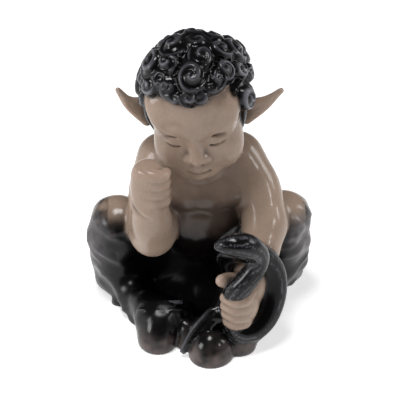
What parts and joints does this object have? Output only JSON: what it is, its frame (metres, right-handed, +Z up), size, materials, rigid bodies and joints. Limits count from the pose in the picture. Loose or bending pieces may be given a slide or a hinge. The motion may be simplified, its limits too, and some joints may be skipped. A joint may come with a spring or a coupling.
{
  "type": "faun statue",
  "caption": "Seated faun boy figurine with curly hair, pointed ears, goat legs and hooves, holding a snake that loops round the forearm.",
  "frame": {"origin": "on the table, under the middle of the figurine's bounding box", "axes": "+Z up, -Y the way the faun faces, +X towards the faun's left hand, which holds the snake"},
  "size_m": [0.0937, 0.0816, 0.1208],
  "materials": {
    "glazed_porcelain": "hard clear gloss over underglaze painting: warm taupe skin, near-black hair, fur and snake, grey-brown hooves"
  },
  "bodies": {
    "root": {"faun_statue": "glazed_porcelain"}
  },
  "joints": []
}
